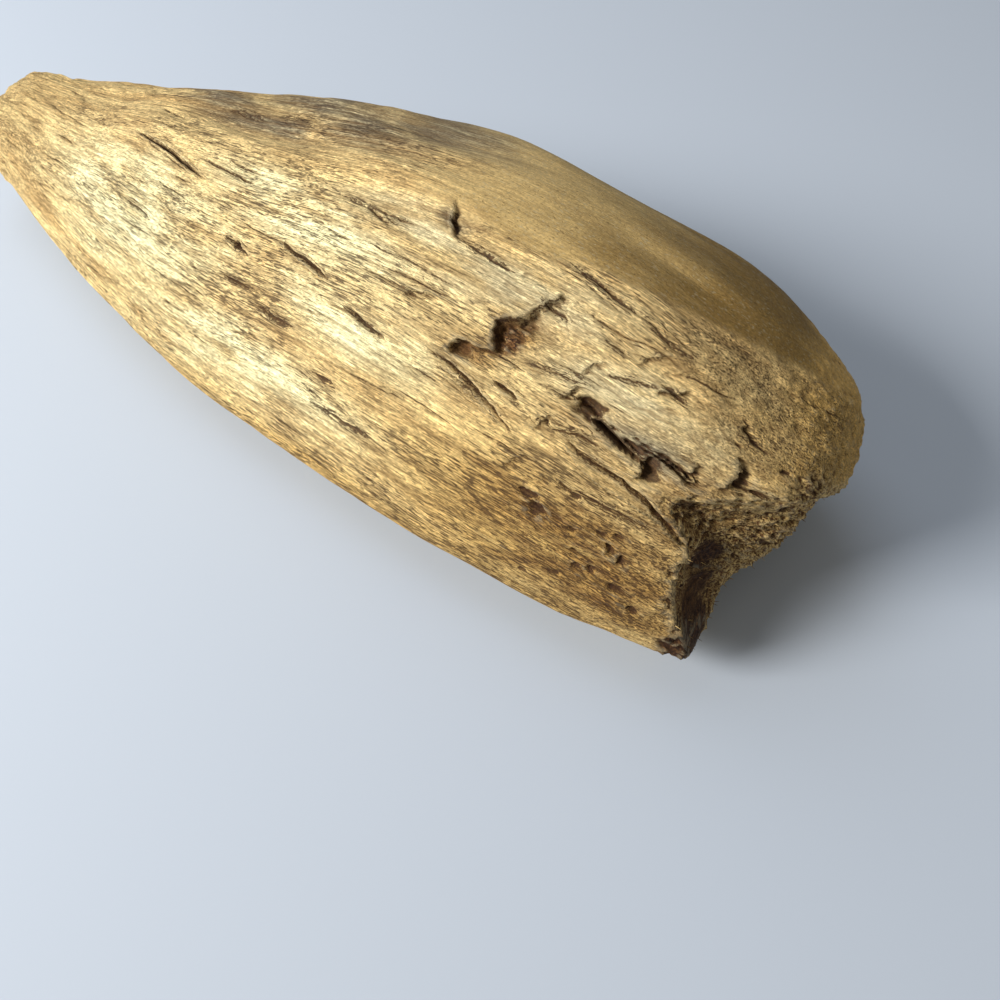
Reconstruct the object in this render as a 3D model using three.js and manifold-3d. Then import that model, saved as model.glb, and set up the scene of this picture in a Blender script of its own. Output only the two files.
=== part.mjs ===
// A piece of driftwood: the thick end of a limb, split along the grain, broken off and worn by water.
// It is one closed solid, in millimetres. +X runs along the wood towards the broken end, the split
// face looks towards -Y and up, the rounded shoulder is at +Y, and +Z is up. The origin is under the
// middle of the piece, on the surface that it rests on.
import * as THREE from "three";
import { mergeVertices } from "three/addons/utils/BufferGeometryUtils.js";
import Module from "manifold-3d";

const wasm = await Module();
wasm.setup();

// Driving dimensions. A distance along the wood is counted from its thin, worn end.
const LENGTH = 300;
const THIN_END_ROUNDING = 24;
const BROKEN_END_ROUNDING = 13;
const NOSE_BLUNTNESS = 0.8;
const FACE_TILT = THREE.MathUtils.degToRad(40);

// Relief that wear has left: height, length and width of each kind. The wood is plain where it
// rests, and the hollows on top fade in between two heights.
const RIDGES = { height: 1.2, length: 60, width: 7 };
const SMALL_RIDGES = { height: 0.6, length: 35, width: 4 };
const LUMPS = { height: 1.3, length: 45, width: 26 };
const GRAIN_DRIFT = 0.08;
const PLAIN_BELOW = 10;
const HOLLOWS_FROM_Z = 20;
const HOLLOWS_FULL_Z = 45;

// Fineness of the surface.
const GIRTH_POINTS = 64;
const FLANK_STATIONS = 58;
const THIN_END_RINGS = 6;
const BROKEN_END_RINGS = 8;
const QUARTER_STEPS = 40;
const BREAK_STEPS_ACROSS = 44;
const BREAK_STEPS_DEEP = 22;
const CRACK_STEPS = 9;
const LEDGE_STEPS = 8;
const QUARTER_TURN = Math.PI / 2;

// Lines of the piece, drawn as a boat's are: [distance along the wood, value].
const FRONT_EDGE_Y = [[0, -12], [40, -25], [100, -41], [150, -48], [205, -51], [265, -47], [300, -39]];
const FRONT_EDGE_Z = [[0, 20], [60, 16], [150, 12], [250, 11], [300, 12]];
const CREST_Y = [[0, 3], [60, 4], [120, 5], [180, 7], [240, 5], [300, 3]];
const CREST_Z = [[0, 34], [40, 40], [100, 53], [150, 63], [210, 69], [260, 63], [300, 46]];
const BACK_EDGE_Y = [[0, 19], [40, 26], [100, 38], [150, 46.5], [210, 50.5], [260, 46.5], [300, 32]];
const BACK_EDGE_Z = [[0, 22], [60, 28], [150, 34], [250, 35], [300, 28]];
const KEEL_Y = [[0, 3], [150, 1], [300, -1]];
const KEEL_Z = [[0, 11], [50, 5], [100, 1], [140, -1], [210, -1], [250, 1], [300, 6]];
const FACE_FULLNESS = [[0, 1.9], [60, 1.5], [150, 1.35], [220, 1.5], [270, 1.8], [300, 2]];
const SHOULDER_FULLNESS = [[0, 2], [60, 2.4], [150, 2.8], [220, 2.2], [300, 2]];
const UNDERSIDE_FULLNESS = 2.1;

// Worn hollows: centre along the wood, centre across (y), half length, half width, depth.
const TOP_HOLLOWS = [
  { x: 126, y: 15, length: 30, width: 10, depth: 5 },
  { x: 176, y: 29, length: 26, width: 9, depth: 2.5 },
  { x: 58, y: 12, length: 18, width: 8, depth: 2 },
];

// The broken end, across the face from its low edge: [across, end at the face, end deep in the wood].
const BROKEN_END = [
  [-90, 288, 293], [-22, 288, 290.5], [-12, 281, 286.5], [-5, 279.5, 285.5], [1, 278, 289], [5, 270, 290.5],
  [9, 268.5, 291.5], [13, 277, 293], [19, 290, 295], [26, 299, 301], [34, 312, 312], [110, 330, 330],
];
const END_FACE_HEIGHT = 52;
const END_FACE_MIDDLE = 5;
const END_FACE_ARC = 0.02;
const END_SLOPE_DEPTH = 22;
const END_LUMPS = { height: 1.6, across: 5, deep: 6 };
const END_CRUMBS = { height: 0.7, across: 2.4, deep: 2.6 };
const MISSING_BLOCK = { fromAcross: -80, toAcross: 90, above: -30, below: 80, farX: LENGTH + 45 };
const END_POCKETS = [
  { across: -3, deep: 12, radius: 8, depth: 7 },
  { across: 24, deep: 34, radius: 10, depth: 3 },
];

// What is cut away starts this far outside the surface.
const CLEARANCE = 3;

// Cracks along the grain of the face: points [along, across], width at the surface and depth.
const CRACK_TAPER = 0.6;
const CRACKS = [
  { route: [[205, 13], [212, 11.8], [219, 9.5], [225, 7.5], [231, 4.5]], width: 1.6, depth: 4 },
  { route: [[242, 10], [249, 7.5], [259, 7], [266, 5.3], [280, -1.5]], width: 1.8, depth: 6 },
  { route: [[241.5, 19], [247, 17], [255, 14.4], [264, 12.5]], width: 3.4, depth: 6 },
  { route: [[257, 16], [265, 15.4], [273, 13]], width: 1.4, depth: 4 },
  { route: [[207, 43.5], [217, 44], [235, 42.3], [246, 40]], width: 1.2, depth: 2 },
  { route: [[91, 28.2], [102, 27.2], [118, 25]], width: 1.8, depth: 4 },
  { route: [[152, 19.3], [161, 18.4], [172, 17]], width: 1.9, depth: 4 },
  { route: [[135, 13.2], [144, 11.7]], width: 2, depth: 3 },
  { route: [[182, 12.2], [193, 10.4]], width: 1.4, depth: 3 },
  { route: [[177, -13.4], [199, -13.5]], width: 1.4, depth: 2.5 },
];

// Splinters broken off the face, each leaving a step: the broken edge's [along, across] points, how
// far the bared wood runs from it, and how deep the step is. It is shallower and shorter at its
// sides, and follows the drift of the grain.
const STEP_SIDES = 0.35;
const STEP_DRIFT = 0.2;
const STEP_RUNOUT = 0.3;
const STEPS = [
  { edge: [[210, 15], [210.5, 18.5], [219, 19.5]], run: 14, depth: 1.8 },
  { edge: [[219, 20], [218, 25], [222.5, 28.5], [228.5, 37]], run: 24, depth: 2.6 },
  { edge: [[261, 9], [261.5, 12], [261, 15]], run: 12, depth: 3 },
  { edge: [[276.5, 15], [280, 18.5], [277.5, 22]], run: 10, depth: 2.6 },
  { edge: [[269, 12.5], [271.5, 14.5], [270, 17]], run: 8, depth: 2 },
  { edge: [[193, 47], [195.5, 42], [198, 38.5]], run: 12, depth: 2.2 },
];

// Long checks on the hidden sides: [along, y] points, dug from below or from behind.
const BACK_CHECKS = [
  { from: "back", route: [[96, 36], [140, 33], [185, 36], [222, 31]], width: 3, depth: 6 },
  { from: "back", route: [[196, 22], [224, 20], [252, 23]], width: 2.4, depth: 5 },
  { from: "below", route: [[120, -24], [170, -28], [226, -25]], width: 2.6, depth: 5 },
];

// Value of a line at x, on a smooth curve through its points.
function along(line, x) {
  const last = line.length - 1;
  const next = line.findIndex(([at]) => at > x);
  const k = next < 0 ? last - 1 : Math.max(next - 1, 0);
  const slope = (n) => {
    const a = line[Math.max(n - 1, 0)];
    const b = line[Math.min(n + 1, last)];
    return (b[1] - a[1]) / (b[0] - a[0]);
  };
  const [[x0, v0], [x1, v1]] = [line[k], line[k + 1]];
  const span = x1 - x0;
  const t = THREE.MathUtils.clamp((x - x0) / span, 0, 1);
  const h = t * t * (3 - 2 * t);
  const bend = t * (1 - t) ** 2 * slope(k) - t * t * (1 - t) * slope(k + 1);
  return v0 + (v1 - v0) * h + span * bend;
}

// A fixed number from 0 to 1 for each corner of a lattice.
function corner(i, j, k) {
  const h = Math.sin(i * 127.1 + j * 311.7 + k * 74.7) * 43758.5453;
  return h - Math.floor(h);
}

// Smooth noise from -1 to 1.
function noise(x, y, z) {
  const [i, j, k] = [x, y, z].map(Math.floor);
  const [u, v, w] = [x - i, y - j, z - k].map((t) => t * t * (3 - 2 * t));
  const mix = THREE.MathUtils.lerp;
  const row = (b, c) => mix(corner(i, b, c), corner(i + 1, b, c), u);
  const sheet = (c) => mix(row(j, c), row(j + 1, c), v);
  return 2 * mix(sheet(k), sheet(k + 1), w) - 1;
}

// One quarter of a section, from its side to its pole. It bulges more as fullness grows.
function quarter(side, pole, fullness, turn) {
  const c = Math.cos(turn) ** (2 / fullness);
  const s = Math.sin(turn) ** (2 / fullness);
  return new THREE.Vector2(pole.x + (side.x - pole.x) * c, side.y + (pole.y - side.y) * s);
}

// Outline of the wood across the grain at x, as points (y, z) evenly spaced round it.
function section(x) {
  const front = new THREE.Vector2(along(FRONT_EDGE_Y, x), along(FRONT_EDGE_Z, x));
  const crest = new THREE.Vector2(along(CREST_Y, x), along(CREST_Z, x));
  const back = new THREE.Vector2(along(BACK_EDGE_Y, x), along(BACK_EDGE_Z, x));
  const keel = new THREE.Vector2(along(KEEL_Y, x), along(KEEL_Z, x));
  const quarters = [
    { side: front, pole: crest, fullness: along(FACE_FULLNESS, x), reversed: false },
    { side: back, pole: crest, fullness: along(SHOULDER_FULLNESS, x), reversed: true },
    { side: back, pole: keel, fullness: UNDERSIDE_FULLNESS, reversed: false },
    { side: front, pole: keel, fullness: UNDERSIDE_FULLNESS, reversed: true },
  ];
  const fine = quarters.flatMap(({ side, pole, fullness, reversed }) =>
    Array.from({ length: QUARTER_STEPS }, (_, i) => {
      const share = (reversed ? QUARTER_STEPS - i : i) / QUARTER_STEPS;
      return quarter(side, pole, fullness, share * QUARTER_TURN);
    }),
  );
  fine.push(fine[0].clone());
  const walked = [0];
  fine.slice(1).forEach((p, i) => walked.push(walked[i] + p.distanceTo(fine[i])));
  const total = walked[walked.length - 1];
  let k = 0;
  return Array.from({ length: GIRTH_POINTS }, (_, i) => {
    const want = (i / GIRTH_POINTS) * total;
    while (walked[k + 1] < want) k++;
    return fine[k].clone().lerp(fine[k + 1], (want - walked[k]) / (walked[k + 1] - walked[k]));
  });
}

function middle(x) {
  return new THREE.Vector2(
    (along(FRONT_EDGE_Y, x) + along(BACK_EDGE_Y, x)) / 2,
    (along(CREST_Z, x) + along(KEEL_Z, x)) / 2,
  );
}

// How far wear has raised or sunk the surface at a point: ridges along the grain and broad lumps,
// less the worn hollows on top.
function wear(x, y, z) {
  const grainY = y + GRAIN_DRIFT * x;
  const relief = ({ height, length, width }, shift, across) =>
    height * noise(x / length + shift, across / width, z / width);
  let rise = relief(RIDGES, 0, grainY) + relief(SMALL_RIDGES, 9, grainY) + relief(LUMPS, 3, y);
  rise *= THREE.MathUtils.smoothstep(z, 0, PLAIN_BELOW);
  const onTop = THREE.MathUtils.smoothstep(z, HOLLOWS_FROM_Z, HOLLOWS_FULL_Z);
  for (const h of TOP_HOLLOWS) {
    const away = ((x - h.x) / h.length) ** 2 + ((y - h.y) / h.width) ** 2;
    rise -= onTop * h.depth * Math.exp(-away);
  }
  return rise;
}

// Triangles of a closed skin over rings of points, drawn together at a tip on either end. The rings
// run round in the right-handed sense about the direction from the first ring to the last.
function skin(rings, firstTip, lastTip) {
  const size = rings[0].length;
  const vertices = [...rings.flat(), firstTip, lastTip].flatMap((p) => [p.x, p.y, p.z]);
  const at = (ring, i) => ring * size + (i % size);
  const tips = rings.length * size;
  const faces = [];
  for (let i = 0; i < size; i++) {
    for (let ring = 0; ring < rings.length - 1; ring++) {
      faces.push(at(ring, i), at(ring, i + 1), at(ring + 1, i + 1));
      faces.push(at(ring, i), at(ring + 1, i + 1), at(ring + 1, i));
    }
    faces.push(tips, at(0, i + 1), at(0, i));
    faces.push(tips + 1, at(rings.length - 1, i), at(rings.length - 1, i + 1));
  }
  const geometry = new THREE.BufferGeometry();
  geometry.setAttribute("position", new THREE.Float32BufferAttribute(vertices, 3));
  geometry.setIndex(faces);
  return geometry;
}

function solid(geometry) {
  const merged = mergeVertices(geometry, 1e-4);
  const made = new wasm.Manifold(
    new wasm.Mesh({
      numProp: 3,
      vertProperties: merged.attributes.position.array,
      triVerts: new Uint32Array(merged.index.array),
    }),
  );
  if (made.volume() > 0) return made;
  const turned = merged.index.array.slice().reverse();
  merged.setIndex(new THREE.BufferAttribute(turned, 1));
  return solid(merged);
}

// The limb as it was before it broke: sections along it, closing in at both ends.
function limb() {
  const stations = [];
  for (let i = 1; i < THIN_END_RINGS; i++) {
    const turn = (i / THIN_END_RINGS) * QUARTER_TURN;
    stations.push({ x: THIN_END_ROUNDING * (1 - Math.cos(turn)), share: Math.sin(turn) });
  }
  const flankEnd = LENGTH - BROKEN_END_ROUNDING;
  for (let i = 0; i <= FLANK_STATIONS; i++) {
    stations.push({ x: THREE.MathUtils.lerp(THIN_END_ROUNDING, flankEnd, i / FLANK_STATIONS), share: 1 });
  }
  for (let i = 1; i < BROKEN_END_RINGS; i++) {
    const turn = (i / BROKEN_END_RINGS) * QUARTER_TURN;
    const reach = BROKEN_END_ROUNDING * Math.sin(turn) ** NOSE_BLUNTNESS;
    stations.push({ x: flankEnd + reach, share: Math.cos(turn) ** NOSE_BLUNTNESS });
  }
  const rings = stations.map(({ x, share }) => {
    const centre = middle(x);
    return section(x).map((outer) => {
      const out = outer.clone().sub(centre).normalize();
      const p = outer.addScaledVector(out, wear(x, outer.x, outer.y));
      p.sub(centre).multiplyScalar(share).add(centre);
      return new THREE.Vector3(x, p.x, Math.max(p.y, 0));
    });
  });
  const tip = (x) => new THREE.Vector3(x, middle(x).x, middle(x).y);
  return solid(skin(rings, tip(0), tip(LENGTH)));
}

// Point at a distance along the wood, a distance across the split face and a height off its plane.
const ACROSS = new THREE.Vector3(0, Math.cos(FACE_TILT), Math.sin(FACE_TILT));
const OFF_FACE = new THREE.Vector3(0, -Math.sin(FACE_TILT), Math.cos(FACE_TILT));
function onFrame(x, across, off) {
  return new THREE.Vector3(x, 0, 0).addScaledVector(ACROSS, across).addScaledVector(OFF_FACE, off);
}

// Height of the surface at x, seen from `outward`, where it lies `sideways` along `across`.
function surfaceHeight(x, sideways, across, outward) {
  const points = section(x).map((p) => new THREE.Vector3(0, p.x, p.y));
  let highest = -Infinity;
  points.forEach((a, i) => {
    const b = points[(i + 1) % points.length];
    const [s0, s1] = [a.dot(across), b.dot(across)];
    if (s0 === s1 || (s0 - sideways) * (s1 - sideways) > 0) return;
    const t = (sideways - s0) / (s1 - s0);
    highest = Math.max(highest, THREE.MathUtils.lerp(a.dot(outward), b.dot(outward), t));
  });
  return highest;
}

// The wood that is missing past the broken end: a block whose near side is the rough broken face.
function missingEnd() {
  const { fromAcross, toAcross, above, below, farX } = MISSING_BLOCK;
  const faceEnd = BROKEN_END.map(([q, face]) => [q, face]);
  const deepEnd = BROKEN_END.map(([q, , deep]) => [q, deep]);
  const brokenX = (across, deep) => {
    const under = deep - END_FACE_ARC * (across - END_FACE_MIDDLE) ** 2;
    const share = THREE.MathUtils.smoothstep(under, -1, END_SLOPE_DEPTH);
    let x = THREE.MathUtils.lerp(along(faceEnd, across), along(deepEnd, across), share);
    for (const p of END_POCKETS) {
      const away = ((across - p.across) ** 2 + (deep - p.deep) ** 2) / p.radius ** 2;
      x -= p.depth * Math.exp(-away);
    }
    for (const [rough, seed] of [[END_LUMPS, 4], [END_CRUMBS, 8]]) {
      x += rough.height * noise(across / rough.across, deep / rough.deep, seed);
    }
    return x;
  };
  const rings = [];
  for (let i = 0; i <= BREAK_STEPS_ACROSS; i++) {
    const across = THREE.MathUtils.lerp(fromAcross, toAcross, i / BREAK_STEPS_ACROSS);
    const ring = [];
    for (let j = 0; j <= BREAK_STEPS_DEEP; j++) {
      const deep = THREE.MathUtils.lerp(above, below, j / BREAK_STEPS_DEEP);
      ring.push(onFrame(brokenX(across, deep), across, END_FACE_HEIGHT - deep));
    }
    ring.push(onFrame(farX, across, END_FACE_HEIGHT - below));
    ring.push(onFrame(farX, across, END_FACE_HEIGHT - above));
    rings.push(ring);
  }
  const cap = (across) => onFrame((LENGTH + farX) / 2, across, 0);
  return solid(skin(rings, cap(fromAcross), cap(toAcross)));
}

// A crack: a V that follows a route over the surface and dies out at both ends.
function crack({ route, width, depth, across = ACROSS, outward = OFF_FACE }) {
  const point = (x, sideways, height) =>
    new THREE.Vector3(x, 0, 0).addScaledVector(across, sideways).addScaledVector(outward, height);
  const path = new THREE.SplineCurve(route.map(([x, s]) => new THREE.Vector2(x, s)));
  const rings = [];
  for (let i = 1; i < CRACK_STEPS; i++) {
    const { x, y: sideways } = path.getPoint(i / CRACK_STEPS);
    const open = Math.sin((i / CRACK_STEPS) * Math.PI) ** CRACK_TAPER;
    const half = (width / 2) * open * (1 + CLEARANCE / depth);
    const top = surfaceHeight(x, sideways, across, outward);
    rings.push([
      point(x, sideways - half, top + CLEARANCE),
      point(x, sideways + half, top + CLEARANCE),
      point(x, sideways, top - depth * open),
    ]);
  }
  const tip = ({ x, y: sideways }) =>
    point(x, sideways, surfaceHeight(x, sideways, across, outward) + CLEARANCE / 2);
  return solid(skin(rings, tip(path.getPoint(0)), tip(path.getPoint(1))));
}

// A step: the wood that broke away past an edge, deepest at the edge and running out along the grain.
function step({ edge, run, depth }) {
  const path = new THREE.SplineCurve(edge.map(([x, s]) => new THREE.Vector2(x, s)));
  const rings = [];
  for (let i = 0; i <= LEDGE_STEPS; i++) {
    const { x, y: across } = path.getPoint(i / LEDGE_STEPS);
    const share = THREE.MathUtils.lerp(STEP_SIDES, 1, Math.sin((i / LEDGE_STEPS) * Math.PI));
    const drift = STEP_DRIFT * run * share;
    const top = surfaceHeight(x, across, ACROSS, OFF_FACE);
    const farTop = surfaceHeight(x + run * share, across - drift, ACROSS, OFF_FACE);
    rings.push([
      onFrame(x, across, top + CLEARANCE),
      onFrame(x, across, top - depth * share),
      onFrame(x + run * share, across - drift, farTop + STEP_RUNOUT),
      onFrame(x + run * share, across - drift, farTop + CLEARANCE),
    ]);
  }
  const cap = (ring) => {
    const sum = ring.reduce((total, p) => total.add(p), new THREE.Vector3());
    return sum.divideScalar(ring.length);
  };
  return solid(skin(rings, cap(rings[0]), cap(rings[LEDGE_STEPS])));
}

const VIEWS = {
  back: { across: new THREE.Vector3(0, 0, 1), outward: new THREE.Vector3(0, 1, 0) },
  below: { across: new THREE.Vector3(0, 1, 0), outward: new THREE.Vector3(0, 0, -1) },
};

function driftwoodGeometry() {
  const lost = [
    missingEnd(),
    ...CRACKS.map(crack),
    ...STEPS.map(step),
    ...BACK_CHECKS.map((check) => crack({ ...check, ...VIEWS[check.from] })),
  ];
  const whole = lost.reduce((wood, piece) => wood.subtract(piece), limb());
  const largest = whole.decompose().sort((a, b) => b.volume() - a.volume())[0];
  const mesh = largest.getMesh();
  const geometry = new THREE.BufferGeometry();
  geometry.setAttribute("position", new THREE.BufferAttribute(mesh.vertProperties, 3));
  geometry.setIndex(new THREE.BufferAttribute(mesh.triVerts, 1));
  geometry.computeBoundingBox();
  const { min, max } = geometry.boundingBox;
  return geometry.translate(-(min.x + max.x) / 2, -(min.y + max.y) / 2, -min.z);
}

const wood = new THREE.MeshStandardMaterial({ color: 0xc9a877, roughness: 0.85, metalness: 0 });
const driftwood = new THREE.Mesh(driftwoodGeometry(), wood);
driftwood.name = "driftwood";

const group = new THREE.Group();
group.add(driftwood);
export default group;
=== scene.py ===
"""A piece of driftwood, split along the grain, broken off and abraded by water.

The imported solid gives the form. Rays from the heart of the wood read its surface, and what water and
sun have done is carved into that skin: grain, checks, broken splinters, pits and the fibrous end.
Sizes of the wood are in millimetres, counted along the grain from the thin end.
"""

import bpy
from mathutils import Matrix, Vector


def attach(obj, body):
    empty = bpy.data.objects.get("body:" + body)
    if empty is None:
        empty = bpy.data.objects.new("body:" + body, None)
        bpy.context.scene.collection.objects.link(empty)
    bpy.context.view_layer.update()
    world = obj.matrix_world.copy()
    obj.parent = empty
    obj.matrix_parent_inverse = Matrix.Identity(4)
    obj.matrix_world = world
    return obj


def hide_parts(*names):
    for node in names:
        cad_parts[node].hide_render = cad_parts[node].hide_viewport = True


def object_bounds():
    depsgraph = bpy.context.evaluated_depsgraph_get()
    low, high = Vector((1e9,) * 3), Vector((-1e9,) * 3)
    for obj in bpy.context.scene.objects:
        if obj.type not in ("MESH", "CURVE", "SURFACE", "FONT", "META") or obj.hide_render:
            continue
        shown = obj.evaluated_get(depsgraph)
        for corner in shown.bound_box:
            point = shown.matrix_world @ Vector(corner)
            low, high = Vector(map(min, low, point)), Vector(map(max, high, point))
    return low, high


bl_info = {
    "name": "Driftwood",
    "version": (1, 0, 0),
    "blender": (4, 5, 0),
    "location": "View3D > Sidebar > Driftwood",
    "description": "Carves and colours a weathered piece of driftwood over its packed solid",
    "category": "Object",
}

import math
from collections import namedtuple
from functools import partialmethod
from types import SimpleNamespace

import bpy
import numpy as np
from bpy.props import FloatProperty, FloatVectorProperty, IntProperty, PointerProperty
from mathutils import Vector
from mathutils.bvhtree import BVHTree
from mathutils.kdtree import KDTree

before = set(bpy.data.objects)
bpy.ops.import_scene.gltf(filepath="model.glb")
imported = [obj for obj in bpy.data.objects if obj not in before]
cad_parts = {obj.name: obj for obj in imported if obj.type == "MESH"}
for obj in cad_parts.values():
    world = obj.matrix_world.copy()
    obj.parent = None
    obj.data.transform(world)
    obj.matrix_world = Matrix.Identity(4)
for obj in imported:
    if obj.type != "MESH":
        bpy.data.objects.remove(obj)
CAD_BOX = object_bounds()

MM = 0.001
NODE = "driftwood"
SEED = 11

# The split face leans back from the edge that it rests near. Places on it are given as
# (along the grain from the thin end, across the face uphill), in millimetres.
FACE_TILT = math.radians(40)
ACROSS = np.array([0, math.cos(FACE_TILT), math.sin(FACE_TILT)])
OFF_FACE = np.array([0, -math.sin(FACE_TILT), math.cos(FACE_TILT)])
THIN_END_X = CAD_BOX[0][0] / MM

# Rays leave the centre line squarely along the body, and fan out from one point at either end.
THIN_FAN = 26
BROKEN_FAN = 240
RAYS_ROUND = 760
THIN_FAN_ROWS = 24
BROKEN_FAN_ROWS = 110
BODY_ROWS = 300
FINE_FROM = 185
SKIN_TRIANGLES = 194000

# The wood's middle and half size are measured at these places, each in a slice this much to either
# side. The rays are spread evenly round the outline at one place.
STATIONS = np.arange(THIN_FAN, 263, 12.0)
SLICE = 7
EVEN_AT = 205.0

# How far the grain strays from its straight run, along, across and up.
GRAIN_SWAY = np.array([0, 1.2, 1.2])

# Stands for the distance from a crack where there is none near.
NO_CRACK = 9.0

# Wood that stands out or is sunk by this much from its neighbours gets the full painted highlight or
# painted shade.
FULL_RELIEF_SHADING = 0.45

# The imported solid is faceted. What is sunk or stands out less than this is taken as smooth.
FACET = 0.35

Crack = namedtuple("Crack", "route width depth")
Step = namedtuple("Step", "edge drop run lift")
Pit = namedtuple("Pit", "along across length width depth")
Patch = namedtuple("Patch", "along across length width")

# Checks and splits that can be told apart from a step away.
CRACKS = [
    Crack([(84, 28.5), (93, 28), (102, 27.2), (109, 26.1), (118, 25)], 0.9, 1.8),
    Crack([(113, 29.8), (127, 29.3), (136, 29.5)], 0.5, 1),
    Crack([(134, 13.9), (139, 13), (144, 11.9)], 0.9, 1.2),
    Crack([(152, 19.6), (157, 18.5), (161, 18.4), (172, 17)], 0.9, 1.8),
    Crack([(173, 36.4), (181, 34.3)], 0.6, 1),
    Crack([(138, 4.8), (149, 4.8)], 0.6, 1),
    Crack([(153, 2.6), (160, 1.9), (167, 2.3)], 0.7, 1.2),
    Crack([(180, 12.8), (187, 11.1), (193, 10.4)], 0.7, 1.5),
    Crack([(205, 13), (212, 11.8), (219, 9.5), (225, 7.5), (231, 4.5)], 0.8, 1.8),
    Crack([(223, 13.2), (229.5, 12)], 0.9, 1.4),
    Crack([(92, 9.8), (106, 8.3)], 0.5, 0.8),
    Crack([(207, 43.5), (217, 44), (223, 43.2)], 0.6, 0.6),
    Crack([(225, 43.7), (233, 42.8), (238.5, 41.2), (246, 40)], 0.7, 0.8),
    Crack([(200, 38.5), (209, 37.6), (216, 37)], 0.7, 0.7),
    Crack([(177, -13.4), (199, -13.5)], 0.8, 1),
    Crack([(176, -5.9), (184, -5.7)], 0.8, 0.8),
    Crack([(242, 18.7), (247, 17), (250, 15.5), (255, 14.4), (262, 13.2)], 1.2, 2),
    Crack([(259, 15.7), (265, 15.4), (270, 14.2), (273, 13)], 1.3, 2.5),
    Crack([(275, 29.6), (278, 26.8), (282, 25.4)], 0.8, 1.2),
    Crack([(280, 17), (289, 17.9), (295, 18.3)], 0.8, 2),
    Crack([(244, 9.3), (249, 7.5), (259, 7), (266, 5.3), (270, 3.4), (279, -1)], 0.8, 2.4),
    Crack([(247, -1.9), (251, -0.5), (256, -0.2), (270, 0.1)], 0.6, 0.9),
    Crack([(226, 33.6), (230.5, 33), (232, 31.5)], 0.7, 0.7),
    Crack([(198.5, 39.6), (196, 42), (194.2, 44.5), (193.3, 46.5)], 0.7, 0.9),
    Crack([(104, 45.8), (112, 46.4), (120, 47)], 0.3, 0.4),
    Crack([(223.7, 12.8), (226.9, 12.2), (229.8, 11.8)], 0.5, 0.8),
    Crack([(235.5, 9.8), (236.8, 11.4), (239, 10)], 0.7, 0.8),
    Crack([(239, 9.8), (245.4, 11.5), (251.5, 11.7)], 0.5, 0.7),
    Crack([(246.6, 26.6), (252.7, 27.5), (257.1, 28)], 0.4, 0.6),
    Crack([(244, 40.6), (249.2, 39.4), (256.2, 37.2), (261.2, 35.9)], 0.5, 0.5),
    Crack([(201.1, 43.4), (208.4, 44.5)], 0.3, 0.3),
    Crack([(257, 29.2), (260.1, 28.8), (262.9, 28.1)], 0.8, 0.9),
    Crack([(241.1, 32), (244.6, 31.7), (248, 31.1)], 0.5, 0.5),
    Crack([(232, 17.5), (240, 17.8), (247, 19.6)], 0.4, 0.5),
    Crack([(206, 10.5), (216, 9.6), (226, 7.2)], 0.3, 0.5),
    Crack([(226, 20), (236, 21.6), (246, 22.4)], 0.3, 0.4),
    Crack([(117, 48.6), (126, 49.6), (135, 51)], 0.3, 0.3),
]

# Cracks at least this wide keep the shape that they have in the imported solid.
WIDE_CRACK = 1.1

# The deep slots along this route are painted dark inside, as shade.
DARK_ROUTE = [(242, 18.7), (250, 15.5), (262, 13.2), (273, 13)]

# Splinters that have broken away: the edge of each, and the wood past it is lower.
STEPS = [
    Step([(210, 15), (210.5, 18.5), (219, 19.5)], 1.4, 5, 0.5),
    Step([(219.5, 19.5), (219, 22), (217.8, 24), (217.4, 26), (221, 27.5), (223, 28.8)], 1.8, 6, 0.5),
    Step([(223, 28.8), (225, 32), (226.2, 34), (228.5, 37)], 1.0, 6, 0.5),
    Step([(193, 22), (199, 24.5)], 0.8, 9, 0.3),
    Step([(179, 34), (182, 37)], 0.6, 8, 0.2),
    Step([(261, 9), (261.5, 15)], 1.0, 6, 0.8),
    Step([(276.5, 15), (280, 18.5), (277.5, 22)], 1.0, 6, 0.7),
    Step([(269, 12.5), (271.5, 14.5), (270, 17)], 0.8, 5, 0.5),
    Step([(257, 27.5), (262, 30)], 0.9, 8, 0.3),
    Step([(198, 38.5), (195.5, 42), (193, 47)], 0.9, 6, 0.5),
    Step([(238, 17), (241, 21)], 0.9, 7, 0.3),
    Step([(236, 8), (238, 12)], 0.8, 8, 0.3),
    Step([(232, -3), (236, 2)], 0.5, 8, 0.2),
    Step([(240, 24), (243, 28)], 0.6, 7, 0.2),
    Step([(250, 31), (256, 35)], 0.6, 7, 0.2),
]

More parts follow.
